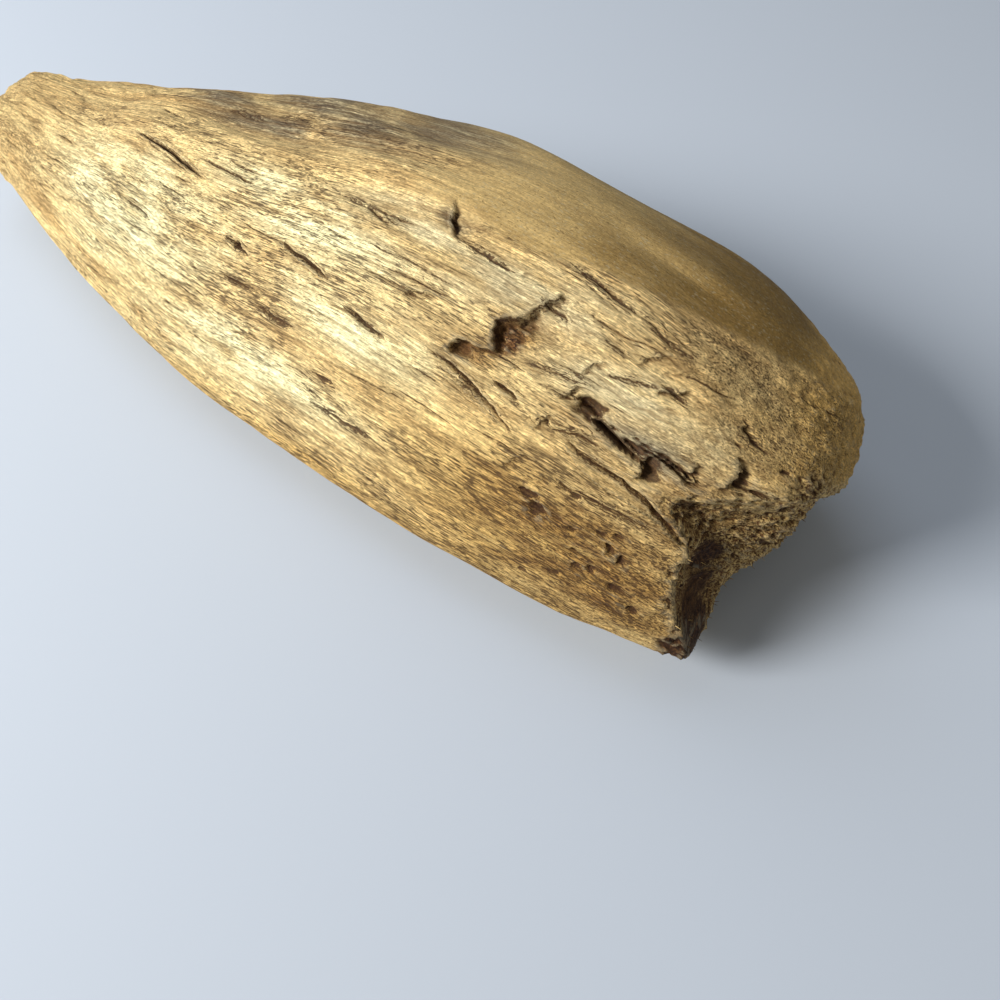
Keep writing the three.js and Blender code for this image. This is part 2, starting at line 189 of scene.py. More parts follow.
# Rotten and worm-eaten places.
PITS = [
    Pit(220.6, 24.3, 2.6, 2.2, 0.5),
    Pit(223.5, 27, 1.6, 1.2, 0.4),
    Pit(212, 17.4, 1.8, 1.2, 0.4),
    Pit(246, 18, 3, 2, 2.5),
    Pit(257, 14.6, 3.5, 1.5, 2.5),
    Pit(263, 12.5, 2.4, 2.2, 1.6),
    Pit(240.8, -6.1, 2, 0.8, 1.4),
    Pit(244.2, -7.8, 1.7, 1.1, 1.6),
    Pit(247.8, -1, 1.8, 0.6, 0.9),
    Pit(250.8, -1.6, 1.2, 0.6, 0.7),
    Pit(253.8, -8.5, 0.9, 0.7, 0.8),
    Pit(255.6, -12.6, 1.1, 0.8, 1),
    Pit(257.4, -15.8, 1.3, 1, 1.2),
    Pit(260.2, -5.8, 1.2, 0.6, 0.9),
    Pit(263.6, -4.4, 1.6, 0.5, 0.8),
    Pit(262.8, -8.2, 1.1, 1.1, 1.6),
    Pit(260.5, -14.5, 1, 0.8, 1),
    Pit(267.9, -15.7, 1.8, 0.8, 1.2),
    Pit(253, -19.7, 1, 0.6, 0.7),
    Pit(245.5, -23.2, 1.2, 0.5, 0.6),
    Pit(272.9, -18.3, 1.4, 0.9, 1.2),
    Pit(277.9, -6.4, 1.4, 1, 1.2),
    Pit(280.1, -12.4, 1.2, 1.4, 1.2),
    Pit(283, -15.5, 1.2, 1.2, 1),
    Pit(271.5, 14.2, 1.6, 1.4, 1.4),
    Pit(280.5, 18.5, 1.8, 2, 1.4),
    Pit(287, -20.4, 2.4, 2.6, 1.4),
    Pit(283.5, -18.5, 1.6, 1.6, 1),
    Pit(138.5, 13.2, 1.6, 1, 1.2),
    Pit(266, -9.4, 1.2, 1.2, 1.4),
]

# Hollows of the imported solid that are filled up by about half.
SHALLOW = [Patch(220.5, 24.5, 4, 3.5), Patch(212, 17.4, 3, 2.5)]

# Where the wood has weathered in its own way. A size is a half length or a half width.
# The greyed patches on the back slope are partly painted shade.
GREY_AND_SHADE_PATCHES = [
    Patch(122, 46, 20, 3.6), Patch(150, 56, 24, 6.5), Patch(170, 64, 24, 7), Patch(199, 43, 5, 2.5),
    Patch(258, 15, 16, 3), Patch(98, 49.5, 22, 3.2), Patch(128, 56, 20, 5),
]
ROTTEN_PATCHES = [
    Patch(256, -11, 28, 12), Patch(222, 25, 6, 4), Patch(214, 16.5, 7, 3), Patch(278, 8, 12, 8),
]
BLEACHED_PATCHES = [Patch(214, 34, 34, 8), Patch(255, 22, 24, 6), Patch(190, 38, 20, 5)]
CREAM_PATCHES = [Patch(95, 8, 42, 16), Patch(150, -14, 40, 8), Patch(155, 28, 34, 8), Patch(185, 10, 26, 8)]
OCHRE_PATCHES = [Patch(246, -14, 46, 15)]

# Dark red-brown rot under the ledge and in the broken end, over whose wall it is also painted shade: the
# middle of each as (along, across, off the face), and a radius.
ROT_AND_SHADE_SPOTS = [
    ((221, 24, 53.5), 4.2), ((224.5, 28, 53), 3), ((212.5, 17.3, 54), 2.6),
    ((281, 0, 39), 5), ((284, -6, 35), 6), ((286.5, -13, 33), 5), ((285.5, -19.5, 40), 4.5),
    ((280, -3.5, 39), 4.5), ((281.5, -7, 35.5), 5), ((282, -12, 36.5), 5), ((283.5, -17, 38.5), 5),
    ((284, -22, 40.5), 5), ((287, -20, 34), 6), ((285.5, -27, 37), 4.5),
]

# Noises for the wood's colours: the size of their lumps along, across and off the grain, then detail,
# roughness and distortion.
GRAINS = {
    "bands": ((75, 10, 10), 2, 0.5, 0.2),
    "mottle": ((16, 6, 6), 4, 0.62),
    "streaks": ((30, 1.6, 1.6), 4, 0.65, 0.15),
    "fibres": ((9, 0.4, 0.4), 3, 0.7),
    "hair": ((3, 0.22, 0.22), 1, 0.5),
    "lines": ((15, 0.28, 0.28), 2, 0.6, 0.05),
    "dashes": ((3.4, 0.33, 0.33), 1.5, 0.5, 0.1),
    "specks": ((1.5, 0.55, 0.55), 2.5, 0.65),
    "grit": ((0.8, 0.6, 0.6), 2, 0.6),
    "blotches": ((5, 2.2, 2.2), 4, 0.65),
}
BUMP_HEIGHT = 0.32

# The stage, in metres: the floor's half width, the place that both lights aim at and the sky light.
# The tints are red, green and blue, and the sensor's width is in millimetres, as the lens is.
FLOOR_REACH = 3.0
LIT_PLACE = (0.03, 0, 0.03)
SKY_PLACE = (-0.9, 0.5, 1.3)
SKY_WIDTH = 1.2
WINDOW_TINT = (1, 0.98, 0.93)
SKY_TINT = (0.82, 0.90, 1)
SENSOR_WIDTH = 36

# Loose fibres along the front edge: root (along, across, off the face), then the way they stick out.
HAIRS = [
    ((154.7, -27.6, 41.3), (-2.6, -1.6, -0.4)),
    ((152.6, -27.6, 41.1), (-3.2, -0.9, 0.4)),
    ((206.0, -27.3, 45.3), (-1.6, -1.8, 0.2)),
    ((204.0, -27.4, 45.1), (-2.8, -0.8, 0.5)),
]


def linear(red, green, blue):
    """A colour given as 0 to 255 on screen, as Blender's linear values."""
    def one(v):
        v /= 255
        return v / 12.92 if v <= 0.04045 else ((v + 0.055) / 1.055) ** 2.4
    return one(red), one(green), one(blue)


def smoothstep(value, low, high):
    t = np.clip((value - low) / (high - low), 0, 1)
    return t * t * (3 - 2 * t)


def unit(vectors):
    return vectors / np.maximum(np.linalg.norm(vectors, axis=-1, keepdims=True), 1e-9)


def lattice(i, j, k, seed):
    """A fixed number from -1 to 1 for each corner of a lattice."""
    mask = 0xFFFFFFFF
    h = (i * 374761393 + j * 668265263 + k * 1442695041 + seed * 974634777) & mask
    h = ((h ^ (h >> 13)) * 1274126177) & mask
    return ((h ^ (h >> 16)) & 0xFFFFFF) / 0x7FFFFF - 1


def noise(points, size, seed):
    """Smooth noise from -1 to 1, with lumps of the given size along x, y and z."""
    scaled = points / np.asarray(size, float)
    base = np.floor(scaled).astype(np.int64)
    t = scaled - base
    t = t * t * (3 - 2 * t)
    total = 0
    for corner in range(8):
        step = [(corner >> axis) & 1 for axis in range(3)]
        weight = 1
        for axis in range(3):
            weight = weight * (t[..., axis] if step[axis] else 1 - t[..., axis])
        i, j, k = (base[..., axis] + step[axis] for axis in range(3))
        total = total + weight * lattice(i, j, k, SEED + seed)
    return total


def blur(field, rows, columns):
    """The field softened by a bell curve that many rows and columns wide. Columns run round."""
    for axis, sigma in ((0, rows), (1, columns)):
        reach = max(1, math.ceil(2.5 * sigma))
        taps = np.exp(-0.5 * (np.arange(-reach, reach + 1) / sigma) ** 2)
        taps /= taps.sum()
        padding = [(0, 0), (0, 0)]
        padding[axis] = (reach, reach)
        padded = np.pad(field, padding, mode="wrap" if axis else "edge")
        count = field.shape[axis]
        field = sum(
            tap * (padded[:, n:n + count] if axis else padded[n:n + count])
            for n, tap in enumerate(taps)
        )
    return field


class Limb:
    """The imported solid, in millimetres, and its middle and half size across the grain."""

    def __init__(self, node):
        data = node.data
        places = np.empty(len(data.vertices) * 3)
        data.vertices.foreach_get("co", places)
        turn = np.array(node.matrix_world)
        points = (places.reshape(-1, 3) @ turn[:3, :3].T + turn[:3, 3]) / MM
        faces = [tuple(face.vertices) for face in data.polygons]
        self.surface = BVHTree.FromPolygons(points.tolist(), faces)
        middles, halves = [], []
        for station in STATIONS:
            near = np.abs(points[:, 0] - THIN_END_X - station) < SLICE
            low, high = points[near, 1:].min(0), points[near, 1:].max(0)
            middles.append((low + high) / 2)
            halves.append((high - low) / 2)
        self.middles, self.halves = np.array(middles), np.array(halves)
        self.widest = self.halves.max(0)

    def at(self, table, along):
        return np.stack([np.interp(along, STATIONS, table[:, n]) for n in (0, 1)], -1)

    def centre(self, along):
        middle = self.at(self.middles, along)
        return np.concatenate([(along + THIN_END_X)[..., None], middle], -1)

    def grain(self, points, drift):
        """Places in the wood as it would be without its taper, so that the grain runs along x."""
        along = points[..., 0] - THIN_END_X
        flat = (points[..., 1:] - self.at(self.middles, along)) / self.at(self.halves, along)
        flat = flat * self.widest
        return np.stack([along, flat[..., 0] + drift * along, flat[..., 1]], -1)

    def depth(self, origins, directions):
        """How far each ray runs inside the wood."""
        cast = self.surface.ray_cast
        found = [
            cast(start, way)[3] or 0.0
            for start, way in zip(origins.reshape(-1, 3).tolist(), directions.reshape(-1, 3).tolist())
        ]
        return np.array(found).reshape(directions.shape[:-1])


def even_angles(limb, count):
    """Angles round the body that are evenly spaced on its skin, closer together on the split face."""
    turns = np.linspace(0, 2 * np.pi, 721)
    ways = np.stack([np.zeros_like(turns), np.cos(turns), np.sin(turns)], -1)
    start = np.broadcast_to(limb.centre(np.array(EVEN_AT)), ways.shape)
    skin = ways * limb.depth(start, ways)[:, None]
    steps = np.linalg.norm(np.diff(skin, axis=0), axis=1)
    seen = smoothstep(ways[:-1] @ OFF_FACE, -0.35, 0.1)
    walked = np.concatenate([[0], np.cumsum(steps * (0.55 + 0.45 * seen))])
    return np.interp(np.arange(count) / count * walked[-1], walked, turns)


def ray_rows():
    """Distance along and lean from the +X axis of each row of rays, from thin end to broken end."""
    thin = [(THIN_FAN, math.pi - math.pi / 2 * n / THIN_FAN_ROWS) for n in range(1, THIN_FAN_ROWS)]
    span = np.linspace(THIN_FAN, BROKEN_FAN, 400)
    walked = np.concatenate([[0], np.cumsum(np.where(span[1:] > FINE_FROM, 1.5, 1))])
    places = np.interp(np.linspace(0, walked[-1], BODY_ROWS), walked, span)
    body = [(place, math.pi / 2) for place in places]
    broken = [
        (BROKEN_FAN, math.pi / 2 * (1 - n / BROKEN_FAN_ROWS)) for n in range(1, BROKEN_FAN_ROWS)
    ]
    return np.array(thin + body + broken)


class Skin:
    """A closed net of points on the wood, one row after another, each a distance along its ray."""

    def __init__(self, limb):
        self.limb = limb
        rows = ray_rows()
        turns = even_angles(limb, RAYS_ROUND)
        lean = rows[:, 1, None]
        self.ways = np.stack([
            np.cos(lean) + 0 * turns,
            np.sin(lean) * np.cos(turns),
            np.sin(lean) * np.sin(turns),
        ], -1)
        starts = limb.centre(rows[:, 0])[:, None, :]
        self.starts = np.broadcast_to(starts, self.ways.shape)
        read = limb.depth(self.starts, self.ways)
        filled = read
        for _ in range(4):
            filled = np.maximum(filled, blur(filled, 2.5, 6))
        smooth = blur(filled, 1.8, 3.6)
        kept = read - smooth
        kept = np.sign(kept) * np.maximum(np.abs(kept) - FACET, 0)
        self.reach = smooth + blur(kept, 0.4, 0.5)
        self.sunk = np.maximum(-kept, 0)

    def points(self):
        return self.starts + self.ways * self.reach[..., None]

    def normals(self):
        spots = self.points()
        down = np.gradient(spots, axis=0)
        round_ = np.roll(spots, -1, 1) - np.roll(spots, 1, 1)
        normal = unit(np.cross(down, round_))
        return normal * np.sign((normal * self.ways).sum(-1, keepdims=True))


def patch_weight(patches, along, across):
    weight = np.zeros_like(along)
    for patch in patches:
        away = ((along - patch.along) / patch.length) ** 2 + ((across - patch.across) / patch.width) ** 2
        weight = np.maximum(weight, np.exp(-away ** 1.3))
    return weight


def route_distance(route, along, across):
    """Distance of places from a route, with its side as the sign, and how far along it they are."""
    route = np.array(route, float)
    pieces = np.linalg.norm(np.diff(route, axis=0), axis=1)
    starts = np.concatenate([[0], np.cumsum(pieces)])
    nearest = np.full(along.shape, 1e9)
    share = np.zeros(along.shape)
    for n, length in enumerate(pieces):
        way = (route[n + 1] - route[n]) / length
        x, y = along - route[n][0], across - route[n][1]
        t = np.clip(x * way[0] + y * way[1], 0, length)
        gap = np.hypot(x - t * way[0], y - t * way[1])
        gap = np.where(x * way[1] > y * way[0], -gap, gap)
        closer = np.abs(gap) < np.abs(nearest)
        nearest = np.where(closer, gap, nearest)
        share = np.where(closer, (starts[n] + t) / starts[-1], share)
    return nearest, share


def crack_depth(crack, along, across):
    """A crack's depth at places on the face, as a share; its signed distance; and its half width."""
    nearest, share = route_distance(crack.route, along, across)
    open_ = np.sqrt(np.clip(np.sin(share * np.pi), 0.04, 1))
    away = np.abs(nearest)
    depth = np.clip(1 - away / (crack.width / 2 * open_ + 0.25), 0, 1) ** 0.7 * open_
    gape = crack.width / 2 * open_ * (1 - smoothstep(away, 1.2, 1.8))
    return depth, nearest, gape


def heal(skin, along, across):
    """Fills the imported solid's narrow cracks, to be carved finer, and half of its shallow hollows."""
    for crack in CRACKS:
        if crack.width < WIDE_CRACK:
            spot = near(along, across, crack.route, 4)
            nearest, _ = route_distance(crack.route, along[spot], across[spot])
            filled = (1 - smoothstep(np.abs(nearest), 2.2, 3.6)) * skin.sunk[spot]
            skin.reach[spot] += filled
            skin.sunk[spot] -= filled
    filled = 0.5 * patch_weight(SHALLOW, along, across) * skin.sunk
    skin.reach += filled
    skin.sunk -= filled


def step_height(step, along, across):
    """How far the wood is raised before a broken edge and lowered past it."""
    edge = np.array(step.edge, float)
    edge = edge[edge[:, 1].argsort()]
    past = along - np.interp(across, edge[:, 1], edge[:, 0])
    low, high = edge[0, 1], edge[-1, 1]
    inside = smoothstep(across, low - 0.6, low + 0.4) * smoothstep(-across, -high - 0.6, -high + 0.4)
    lowered = -step.drop * np.exp(-np.maximum(past, 0) / step.run) * smoothstep(past, -0.3, 0.4)
    raised = step.lift * np.exp(np.minimum(past, 0) / 7) * (1 - smoothstep(past, -0.3, 0.4))
    return inside * (lowered + raised)


def random_cracks(sizes, random):
    """Short checks strewn over the face, along the grain."""
    cracks = []
    for _ in range(sizes.check_count):
        along = random.uniform(30, 280)
        across = random.uniform(-34, 42)
        length = random.uniform(4, 12) + 20 * random.random() ** 3
        fall = random.uniform(-0.07, 0.03) * length
        width = random.uniform(0.1, 0.4)
        route = [(along, across), (along + length, across + fall)]
        cracks.append(Crack(route, width, random.uniform(1, 2) * width))
    return cracks


def companions(random):
    """Finer splits that run beside the larger cracks."""
    splits = []
    for crack in CRACKS:
        for side in (-1, 1):
            away = side * random.uniform(0.7, 1.6)
            slide = random.uniform(-3, 3)
            route = [(along + slide, across + away) for along, across in crack.route]
            splits.append(Crack(route, random.uniform(0.1, 0.3), 0.3))
    return splits


def random_steps(sizes, random):
    """Small broken splinters strewn over the face, most with a slanting edge."""
    steps = []
    for _ in range(sizes.splinter_steps):
        along = random.uniform(30, 280)
        across = random.uniform(-30, 40)
        width = random.uniform(1.2, 4)
        drop = random.uniform(0.12, 0.34)
        slant = random.uniform(-3, 6) * width / 2
        edge = [(along, across), (along + slant, across + width)]
        steps.append(Step(edge, drop, random.uniform(4, 12), 0.3 * drop))
    return steps


def near(along, across, places, margin):
    """Indices of the net's points round some places on the face, given as (along, across)."""
    spots = np.array(places, float)
    low, high = spots.min(0) - margin, spots.max(0) + margin
    inside = (along > low[0]) & (along < high[0]) & (across > low[1]) & (across < high[1])
    return np.nonzero(inside)


def terraced(height, rise, steepness):
    """A height cut into steps, as where wood has split along its rings."""
    level = height / rise
    whole = np.floor(level)
    return rise * (whole + smoothstep(level - whole, 1 - steepness, 1))


def zones(spots, normals):
    """Weights from 0 to 1 that say what kind of wood each point is."""
    along = spots[..., 0] - THIN_END_X
    across = spots @ ACROSS
    off = spots @ OFF_FACE
    outward = normals @ OFF_FACE
    patchy = noise(spots, (26, 12, 12), 40)
    mottled = patchy + 0.6 * noise(spots, (9, 4, 4), 42)
    face = smoothstep(outward, 0.25, 0.6)
    ragged = across + 3 * noise(spots, (18, 9, 9), 41) + 1.2 * noise(spots, (6, 2.5, 2.5), 43)
    shoulder = smoothstep(ragged, 42, 46) * smoothstep(along + 12 * patchy, 165, 205)
    shoulder = np.maximum(shoulder, smoothstep(ragged, 56, 64) * smoothstep(along, 120, 190))
    frayed = 0.16 * noise(spots, (4, 0.8, 0.8), 45) + 0.1 * noise(spots, (1.6, 1, 1), 46)
    broken = smoothstep(normals[..., 0] + 0.1 * mottled + frayed, 0.42, 0.6) * smoothstep(along, 250, 264)
    broken *= 1 - smoothstep(ragged, 22, 30)
    nose = smoothstep(along + 6 * mottled, 272, 290) * smoothstep(ragged, 14, 26)
    low_edge = smoothstep(-across + 3 * mottled, 20, 32) * (1 - 0.5 * smoothstep(-along, -150, -100))
    # Red-brown rot; over the broken end's wall it is also painted shade.
    rot_and_shade = np.zeros_like(along)
    for middle, radius in ROT_AND_SHADE_SPOTS:
        away = np.sqrt(sum((a - b) ** 2 for a, b in zip((along, across, off), middle)))
        rot_and_shade = np.maximum(rot_and_shade, 1 - smoothstep(away + 2 * mottled, 0.6 * radius, 1.25 * radius))
    bare = face * (1 - shoulder)
    uphill = across + 3 * mottled
    rotten = patch_weight(ROTTEN_PATCHES, along, across + 4 * mottled) * bare
    bleached = patch_weight(BLEACHED_PATCHES, along, uphill) * bare
    checked = bare * (0.55 + 0.45 * smoothstep(noise(spots, (50, 9, 9), 44), -0.35, 0.4))
    # Greyed wood in patches. On the back slope, and on the sides facing away from the split face (behind),
    # it is also painted shade.
    greyed_and_shade = patch_weight(GREY_AND_SHADE_PATCHES, along + 8 * mottled, uphill)
    behind = 0.55 * smoothstep(-outward, 0.15, 0.7) * (1 - smoothstep(along, 240, 270))
    return {
        "face": bare * (1 - broken),
        "shoulder": shoulder * (1 - broken),
        "broken": broken,
        "nose": nose * (1 - broken),
        "rotten": rotten,
        "bleached": bleached * (1 - rotten),
        "cream": patch_weight(CREAM_PATCHES, along, uphill) * bare,
        "ochre": np.maximum(patch_weight(OCHRE_PATCHES, along, uphill), 0.8 * low_edge),
        "greyed_and_shade": np.maximum(greyed_and_shade, behind) * (1 - broken),
        "checked": np.clip(checked * (1 - 0.6 * bleached) + 0.6 * rotten, 0, 1),
        "rot_and_shade": rot_and_shade,
        # Darker toward the broken end: partly the wood's own colour, partly painted shade.
        "aged_and_shaded": smoothstep(along + 12 * mottled, 196, 272),
    }


def raised_grain(grain, flow, zone, sizes):
    """Height of the grain: layers that have split off in shelves, ridges and fibres."""
    smooth_wood = np.clip(zone["shoulder"] + 0.4 * zone["nose"], 0, 1)
    open_grain = (1 - 0.88 * smooth_wood) * (1 - 0.85 * zone["broken"])
    layered = 1.1 * noise(flow, (80, 7, 7), 4) + 0.45 * noise(flow, (26, 2.8, 2.8), 5)
    shelves = terraced(layered, sizes.layer_rise, 0.3)
    ridge = 1 - 2 * np.abs(noise(flow, (30, 1.9, 1.9), 6))
    fine = noise(flow, (8, 0.9, 0.9), 7)
    pale = 1 - 0.35 * zone["bleached"]
    height = open_grain * pale * (0.75 * shelves + 0.16 * ridge + 0.08 * fine) * sizes.grain_relief
    return height + (0.1 * smooth_wood * noise(grain, (24, 4, 4), 8) + 0.05 * smooth_wood * fine)


def open_cracks(height, zone, along, across, sizes):
    """Lowers the wood in cracks and past broken edges, in place, and notes where they lie. Returns how dark
    each spot is painted, as shade inside the cracks, the deeper the darker.
    """
    random = np.random.default_rng(SEED)
    bared = zone["face"]
    dark = np.zeros_like(along)
    split = np.full(along.shape, NO_CRACK)
    gape = np.zeros_like(along)
    for step in STEPS + random_steps(sizes, random):
        spot = near(along, across, step.edge, (30, 2))
        height[spot] += step_height(step, along[spot], across[spot]) * bared[spot]
    edges = [Crack(step.edge, 0.35 * step.drop, 0) for step in STEPS]
    for crack in CRACKS + edges + random_cracks(sizes, random) + companions(random):
        spot = near(along, across, crack.route, 2)
        share, nearest, half = crack_depth(crack, along[spot], across[spot])
        height[spot] -= crack.depth * share * bared[spot]
        dark[spot] = np.maximum(dark[spot], 0.4 * min(1, crack.depth) * share * bared[spot])
        closer = np.abs(nearest) < np.abs(split[spot])
        split[spot] = np.where(closer, nearest, split[spot])
        gape[spot] = np.where(closer, half * bared[spot], gape[spot])
    zone["split"] = split
    zone["gape"] = gape
    return dark


def eat_away(height, dark, flow, zone, along, across):
    """Sinks the pits and crumbles the rotten wood, in place. Returns how dark each spot is painted, as
    shade in the pits and holes, the deeper the darker.
    """
    bared = zone["face"]
    crumbs = noise(flow, (2.8, 1.1, 1.1), 11) + 0.7 * noise(flow, (1.4, 0.65, 0.65), 12)
    uneven = np.clip(1 + 0.7 * crumbs, 0.2, 2)
    for pit in PITS:
        away = ((along - pit.along) / pit.length) ** 2 + ((across - pit.across) / pit.width) ** 2
        share = np.exp(-(away * uneven) ** 1.5)
        height -= pit.depth * share * (1 + 0.4 * crumbs) * bared
        dark = np.maximum(dark, share * bared * (1 - zone["rot_and_shade"]))
    holes = smoothstep(crumbs, 0.55, 0.9) * zone["rotten"]
    height += zone["rotten"] * 0.2 * crumbs - 0.5 * holes
    return np.maximum(dark, 0.45 * holes)


def tear(height, dark, spots, zone, sizes):
    """Roughens the broken end and the rot in it, in place. Returns how dark each spot is painted, as shade
    in the dips of the rough end and its rot.
    """
    crumbly = noise(spots, (1.7, 1.2, 1.2), 14) + 0.7 * noise(spots, (0.9, 0.7, 0.7), 15)
    fibres = noise(spots, (2.4, 1.3, 1.3), 18)
    loose = zone["broken"] + 0.4 * zone["nose"]
    height += loose * sizes.break_relief * (0.4 * fibres + 0.75 * crumbly)
    height -= zone["rot_and_shade"] * (0.6 + 0.4 * zone["aged_and_shaded"]) * crumbly
    dark = np.maximum(dark, loose * smoothstep(-crumbly, 0.3, 0.9))
    return np.maximum(dark, 0.8 * zone["rot_and_shade"] * zone["aged_and_shaded"] * smoothstep(crumbly, -0.3, 0.3))


def carve(skin, sizes):
    """Weathers the net and returns what the wood is like at each of its points."""
    spots = skin.points()
    heal(skin, spots[..., 0] - THIN_END_X, spots @ ACROSS)
    spots = skin.points()
    zone = zones(spots, skin.normals())
    grain = skin.limb.grain(spots, sizes.grain_drift)
    flow = grain + noise(grain, (42, 16, 16), 16)[..., None] * GRAIN_SWAY
    along = spots[..., 0] - THIN_END_X
    along = along + 0.8 * noise(spots, (3, 1.2, 1.2), 1) + 0.5 * noise(spots, (1.3, 0.7, 0.7), 17)
    across = spots @ ACROSS
    across = across + 0.5 * noise(grain, (9, 4, 4), 2) + 0.28 * noise(grain, (3, 1.5, 1.5), 3)

    height = raised_grain(grain, flow, zone, sizes)
    dark = open_cracks(height, zone, along, across, sizes)
    dark = eat_away(height, dark, flow, zone, along, across)
    dark = tear(height, dark, spots, zone, sizes)

    skin.reach = skin.reach + height
    # How far each point stands above or below its neighbours: sunk places get painted shade, raised places
    # a painted highlight.
    worn = skin.reach - blur(skin.reach, 1.8, 2.6)
    # Painted shade: the deep slots along DARK_ROUTE and the places sunk in the imported solid are darker
    # the deeper they lie. Together with the darkness above, this makes the crack zone.
    nearest, _ = route_distance(DARK_ROUTE, along, across)
    inside = (0.35 + 0.62 * (1 - smoothstep(np.abs(nearest), 3, 6))) * (1 - zone["rot_and_shade"])
    zone["crack"] = np.clip(np.maximum(dark, inside * smoothstep(skin.sunk, 0.3, 1.1)), 0, 1)
    zone["worn"] = np.clip(worn / FULL_RELIEF_SHADING, -1, 1)
    zone["fray"] = smoothstep(zone["broken"], 0.75, 1) * (1 - zone["crack"])
    return zone


def mesh_of(name, points, faces):
    mesh = bpy.data.meshes.new(name)
    mesh.from_pydata(points, [], faces)
    mesh.validate()
    mesh.update()
    return mesh


def net_faces(rows, round_):
    """Faces of the net, with a tip at either end as the last two points."""
    at = np.arange(rows * round_).reshape(rows, round_)
    following = np.roll(at, -1, 1)
    quads = np.stack([at[:-1], at[1:], following[1:], following[:-1]], -1).reshape(-1, 4)
    thin_tip, broken_tip = rows * round_, rows * round_ + 1
    faces = quads[:, ::-1].tolist()
    faces += [(thin_tip, b, a) for a, b in zip(at[0].tolist(), following[0].tolist())]
    faces += [(broken_tip, a, b) for a, b in zip(at[-1].tolist(), following[-1].tolist())]
    return faces


def plain_copy(obj):
    """Mesh of an object with its modifiers applied."""
    view = bpy.context.evaluated_depsgraph_get()
    return bpy.data.meshes.new_from_object(obj.evaluated_get(view), depsgraph=view)


def add_object(name, mesh):
    obj = bpy.data.objects.new(name, mesh)
    bpy.context.scene.collection.objects.link(obj)
    return obj


def thinned(name, mesh, triangles):
    """The mesh with fewer triangles, dropped where the surface is plain."""
    obj = add_object(name, mesh)
    corners = sum(len(face.vertices) - 2 for face in mesh.polygons)
    modifier = obj.modifiers.new("Thin out", "DECIMATE")
    modifier.ratio = triangles / corners
    thin = plain_copy(obj)
    obj.modifiers.clear()
    obj.data = thin
    bpy.data.meshes.remove(mesh)
    return obj


def carry_over(mesh, points, values):
    """Gives each vertex of a mesh the values of the nearest few points, the nearer the more."""
    tree = KDTree(len(points))
    for n, point in enumerate(points.tolist()):
        tree.insert(point, n)
    tree.balance()
    found = [tree.find_n(vertex.co, 4) for vertex in mesh.vertices]
    nearest = np.array([[item[1] for item in items] for items in found])
    weight = 1 / (np.array([[item[2] for item in items] for items in found]) + 0.01 * MM) ** 2
    weight /= weight.sum(1, keepdims=True)
    for name, value in values.items():
        layer = mesh.attributes.new(name, "FLOAT", "POINT")
        mixed = (value.reshape(-1)[nearest] * weight).sum(1)
        layer.data.foreach_set("value", mixed.astype(np.float32))


def make_driftwood(sizes, colours):
    """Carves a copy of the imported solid's skin, which is shown in the node's place."""
    limb = Limb(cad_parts[NODE])
    skin = Skin(limb)
    values = carve(skin, sizes)
    spots = skin.points()
    tips = [spots[0].mean(0), spots[-1].mean(0)]
    points = np.concatenate([spots.reshape(-1, 3), tips])
    points[:, 2] = np.maximum(points[:, 2], 0)
    points *= MM
    net = mesh_of(NODE + "_net", points.tolist(), net_faces(*spots.shape[:2]))
    wood = thinned("weathered_" + NODE, net, SKIN_TRIANGLES)
    carry_over(wood.data, points[:-2], values)
    places = np.empty(len(wood.data.vertices) * 3)
    wood.data.vertices.foreach_get("co", places)
    grain = limb.grain(places.reshape(-1, 3) / MM, sizes.grain_drift)
    layer = wood.data.attributes.new("grain", "FLOAT_VECTOR", "POINT")
    layer.data.foreach_set("vector", grain.astype(np.float32).reshape(-1))
    wood.data.shade_smooth()
    wood.data.materials.append(wood_material(colours))
    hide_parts(NODE)
    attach(wood, "root")


def new_node(tree, kind, settings=None, **inputs):
    """Adds a node. An input is a value or another node's socket.

    It goes by its name, with _ for a space, or by n and its number.
    """
    node = tree.nodes.new(kind)
    for key, value in (settings or {}).items():
        setattr(node, key, value)
    for key, value in inputs.items():
        numbered = key[0] == "n" and key[1:].isdigit()
        socket = node.inputs[int(key[1:]) if numbered else key.replace("_", " ")]
        if isinstance(value, bpy.types.NodeSocket):
            tree.links.new(value, socket)
        else:
            socket.default_value = value
    return node


def rgba(colour):
    return (*colour, 1.0)


